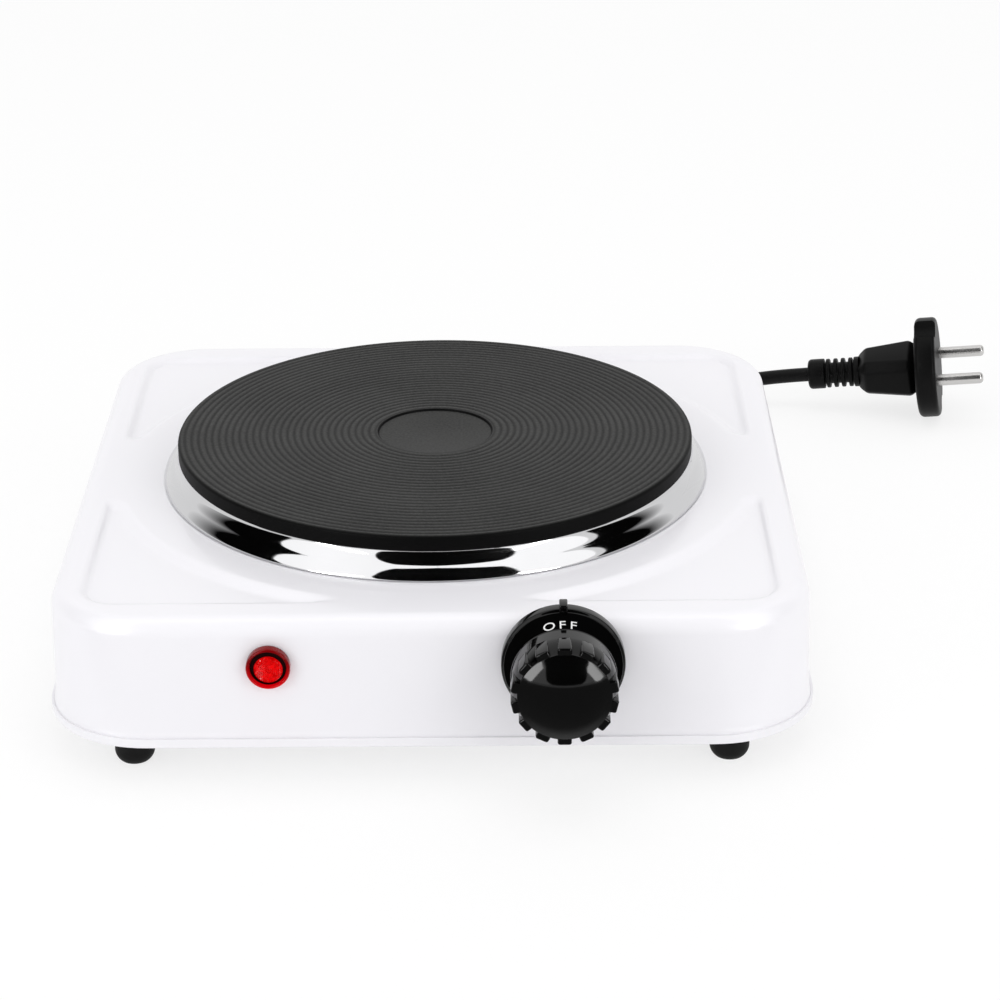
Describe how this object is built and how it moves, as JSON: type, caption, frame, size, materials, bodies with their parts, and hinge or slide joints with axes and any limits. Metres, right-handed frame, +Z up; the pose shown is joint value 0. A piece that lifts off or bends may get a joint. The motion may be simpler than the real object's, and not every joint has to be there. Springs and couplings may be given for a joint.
{
  "type": "hot plate burner",
  "caption": "Low square electric hot plate with a ringed cast iron plate in a chrome ring on a white pressed-steel body, with knob, pilot lamp, feet and mains lead.",
  "frame": {"origin": "on the table, at the middle of the appliance's outline without its mains lead", "axes": "+Z up, -Y towards the knob and lamp at the front, +X to the right seen from the front"},
  "size_m": [0.3596, 0.4026, 0.0717],
  "materials": {
    "white_enamel": "gloss white enamel",
    "base_enamel": "white enamel on the base pan",
    "chrome_ring": "bright chrome",
    "plate_iron": "dark heat-proof coating on cast iron",
    "knob_black": "gloss black phenolic",
    "lamp_red": "clear red",
    "lamp_glass": "clear glass bulb",
    "steel": "plated steel",
    "brass": "bright brass",
    "ceramic": "pale fired ceramic",
    "filling": "pressed mineral filling",
    "block_plastic": "pale plastic",
    "foot_rubber": "matt black rubber",
    "cord_black": "black cord sheath",
    "plug_black": "black moulded plug",
    "tie_plastic": "white plastic band",
    "wire_brown": "brown insulation",
    "wire_blue": "blue insulation",
    "wire_white": "white insulation"
  },
  "bodies": {
    "body": {"top_shell": "white_enamel", "base_pan": "base_enamel", "foot_front_left": "foot_rubber", "foot_front_right": "foot_rubber", "foot_rear_left": "foot_rubber", "foot_rear_right": "foot_rubber", "foot_screws": "steel", "foot_nuts": "steel", "base_bracket_left": "steel", "base_bracket_right": "steel", "base_screws": "steel", "hot_plate": "plate_iron", "trim_ring": "chrome_ring", "heating_coil": "steel", "insulation_fill": "filling", "plate_cover": "steel", "plate_terminal_block": "ceramic", "plate_terminal_pins": "brass", "clamp_bar": "steel", "stud_washer": "steel", "stud_nut": "steel", "plate_stud": "steel", "spindle_bush": "brass", "bush_nut": "brass", "thermostat_bracket": "steel", "thermostat_body": "ceramic", "thermostat_rivets": "brass", "contact_blade": "brass", "fixed_contact": "brass", "bimetal_blade": "steel", "lamp_lens": "lamp_red", "neon_lamp": "lamp_glass", "lamp_clip": "steel", "terminal_block": "block_plastic", "terminal_screws": "brass", "live_wire": "wire_brown", "switched_wire": "wire_white", "neutral_wire": "wire_blue", "lamp_wires": "wire_white", "supply_cores": "wire_brown", "cord_gland": "cord_black", "cord_lead": "cord_black", "cord_coil": "cord_black", "cord_tail": "cord_black", "cord_tie": "tie_plastic", "plug_moulding": "plug_black", "plug_pins": "steel"},
    "control_knob": {"knob": "knob_black", "knob_clip": "steel", "spindle": "steel"},
    "thermostat_rod": {"push_rod": "ceramic"}
  },
  "joints": [
    {"name": "knob_turn", "type": "hinge", "parent": "body", "child": "control_knob", "pos_m": [0.0435, -0.115, 0.0438], "axis": [0, 1, 0], "range_deg": [0, 270]},
    {"name": "push_rod_slide", "type": "slide", "parent": "body", "child": "thermostat_rod", "axis": [0, 1, 0], "range_m": [0, 0.001]}
  ],
  "couplings": [
    {"joint": "push_rod_slide", "follows": "knob_turn", "m_per_rad": 0.000212}
  ]
}
